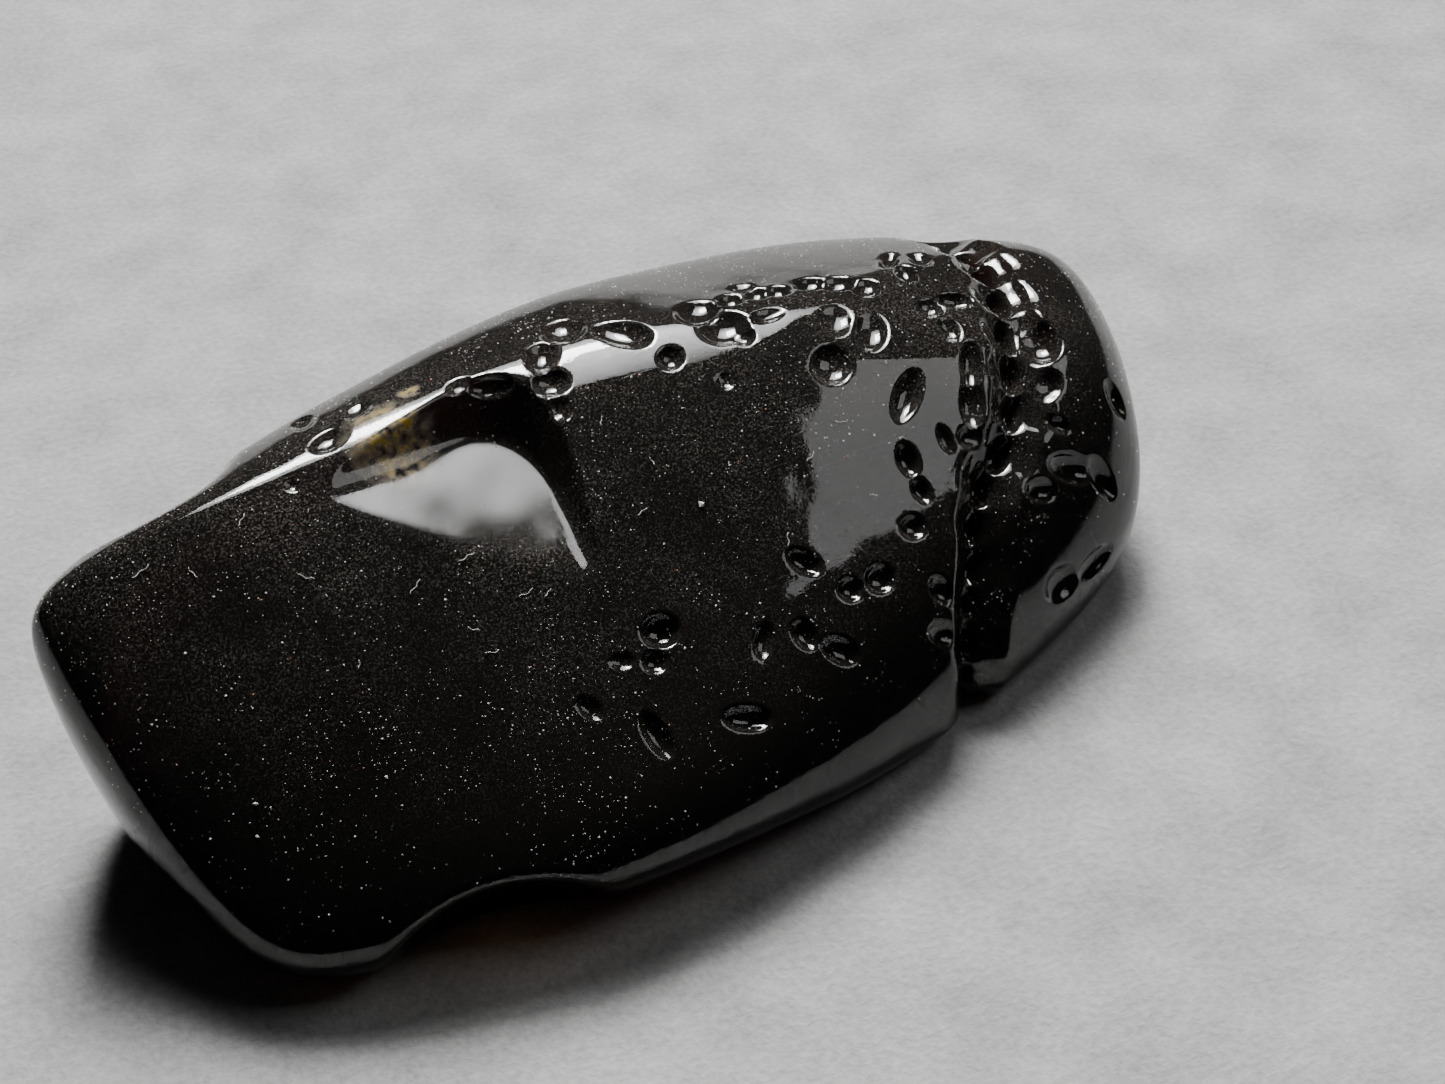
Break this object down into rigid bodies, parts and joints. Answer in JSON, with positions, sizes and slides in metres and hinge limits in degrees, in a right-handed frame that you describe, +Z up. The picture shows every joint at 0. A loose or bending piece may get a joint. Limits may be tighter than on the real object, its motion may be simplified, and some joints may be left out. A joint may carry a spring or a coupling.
{
  "type": "tumbled tektite pebble",
  "caption": "Long ridged pebble of black natural glass, tumbled glossy, with bubble pits, a shelf under the crest and a pitted neck that sets off a small rounded cap.",
  "frame": {"origin": "on the resting plane, under the middle of the stone's overall box", "axes": "+X along the stone towards the small cap, +Y across it towards the long plain far side, +Z up from the worn flat underside to the crest"},
  "size_m": [0.049, 0.0266, 0.0131],
  "materials": {
    "tektite_glass": "glossy tumbled black natural glass, amber where very thin"
  },
  "bodies": {
    "root": {"stone": "tektite_glass"}
  },
  "joints": []
}
